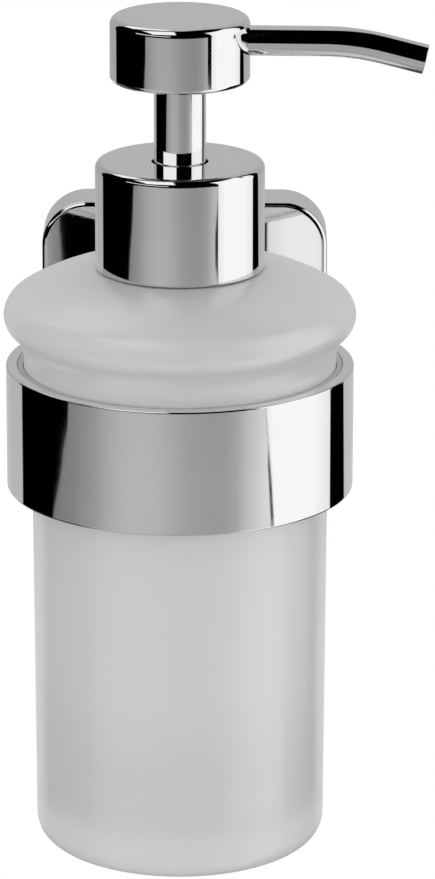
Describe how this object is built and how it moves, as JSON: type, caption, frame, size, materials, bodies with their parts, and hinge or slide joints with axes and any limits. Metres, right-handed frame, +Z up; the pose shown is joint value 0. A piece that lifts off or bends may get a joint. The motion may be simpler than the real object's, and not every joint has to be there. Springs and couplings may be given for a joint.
{
  "type": "soap dispenser",
  "caption": "Wall-mounted liquid soap dispenser: frosted glass bottle hung in a chrome ring on a square wall plate, with a press pump and a long spout.",
  "frame": {"origin": "on the wall, at the middle of the bracket's back face", "axes": "+Z up along the bottle's axis, +Y into the wall, -Y into the room"},
  "size_m": [0.087, 0.1567, 0.1773],
  "materials": {
    "chrome": "polished chrome plate",
    "zinc": "die-cast zinc, unplated",
    "steel": "bright stainless steel",
    "nylon": "moulded grey nylon",
    "clear_plastic": "translucent moulded plastic",
    "frosted_glass": "acid-frosted outside",
    "rubber": "soft sealing rubber",
    "white_plastic": "moulded polypropylene",
    "black_plastic": "moulded black plastic"
  },
  "bodies": {
    "holder": {"wall_bracket": "zinc", "wall_screw_left": "steel", "wall_screw_right": "steel", "wall_plug_left": "nylon", "wall_plug_right": "nylon", "plate_cover": "chrome", "grub_screw": "steel", "arm_screw": "steel", "holder_arm": "chrome", "holder_ring": "chrome", "ring_screw": "steel"},
    "liner": {"ring_liner": "clear_plastic"},
    "bottle": {"glass_bottle": "frosted_glass"},
    "pump_core": {"neck_gasket": "rubber", "pump_cylinder": "white_plastic", "guide_bush": "black_plastic", "dip_tube": "clear_plastic", "pump_spring": "steel"},
    "closure": {"threaded_cap": "white_plastic", "collar_shell": "chrome"},
    "plunger": {"piston_seal": "white_plastic", "piston_rod": "white_plastic"},
    "head": {"stem_sleeve": "chrome", "head_shell": "chrome", "head_core": "black_plastic", "spout_tube": "chrome"},
    "inlet_valve": {"inlet_ball": "steel"},
    "outlet_valve": {"outlet_ball": "steel"}
  },
  "joints": [
    {"name": "bottle_turn", "type": "hinge", "parent": "holder", "child": "liner", "pos_m": [0, -0.084, 0], "axis": [0, 0, 1], "continuous": true},
    {"name": "bottle_lift", "type": "slide", "parent": "liner", "child": "bottle", "axis": [0, 0, 1], "range_m": [0, 0.115]},
    {"name": "core_rise", "type": "slide", "parent": "bottle", "child": "pump_core", "axis": [0, 0, 1], "range_m": [0, 0.00801]},
    {"name": "closure_turn", "type": "hinge", "parent": "pump_core", "child": "closure", "pos_m": [0, -0.084, 0.04], "axis": [0, 0, 1], "range_deg": [0, 720]},
    {"name": "press", "type": "slide", "parent": "pump_core", "child": "plunger", "axis": [0, 0, -1], "range_m": [0, 0.015], "stiffness_N_per_m": 500, "springref_m": -0.008, "deforming": ["pump_spring"]},
    {"name": "head_swivel", "type": "hinge", "parent": "plunger", "child": "head", "pos_m": [0, -0.084, 0.08], "axis": [0, 0, 1], "continuous": true},
    {"name": "inlet_ball_lift", "type": "slide", "parent": "pump_core", "child": "inlet_valve", "axis": [0, 0, 1], "range_m": [0, 0.0012]},
    {"name": "outlet_ball_lift", "type": "slide", "parent": "plunger", "child": "outlet_valve", "axis": [0, 0, 1], "range_m": [0, 0.0012]}
  ],
  "couplings": [
    {"joint": "core_rise", "follows": "closure_turn", "m_per_rad": 0.00063662}
  ]
}
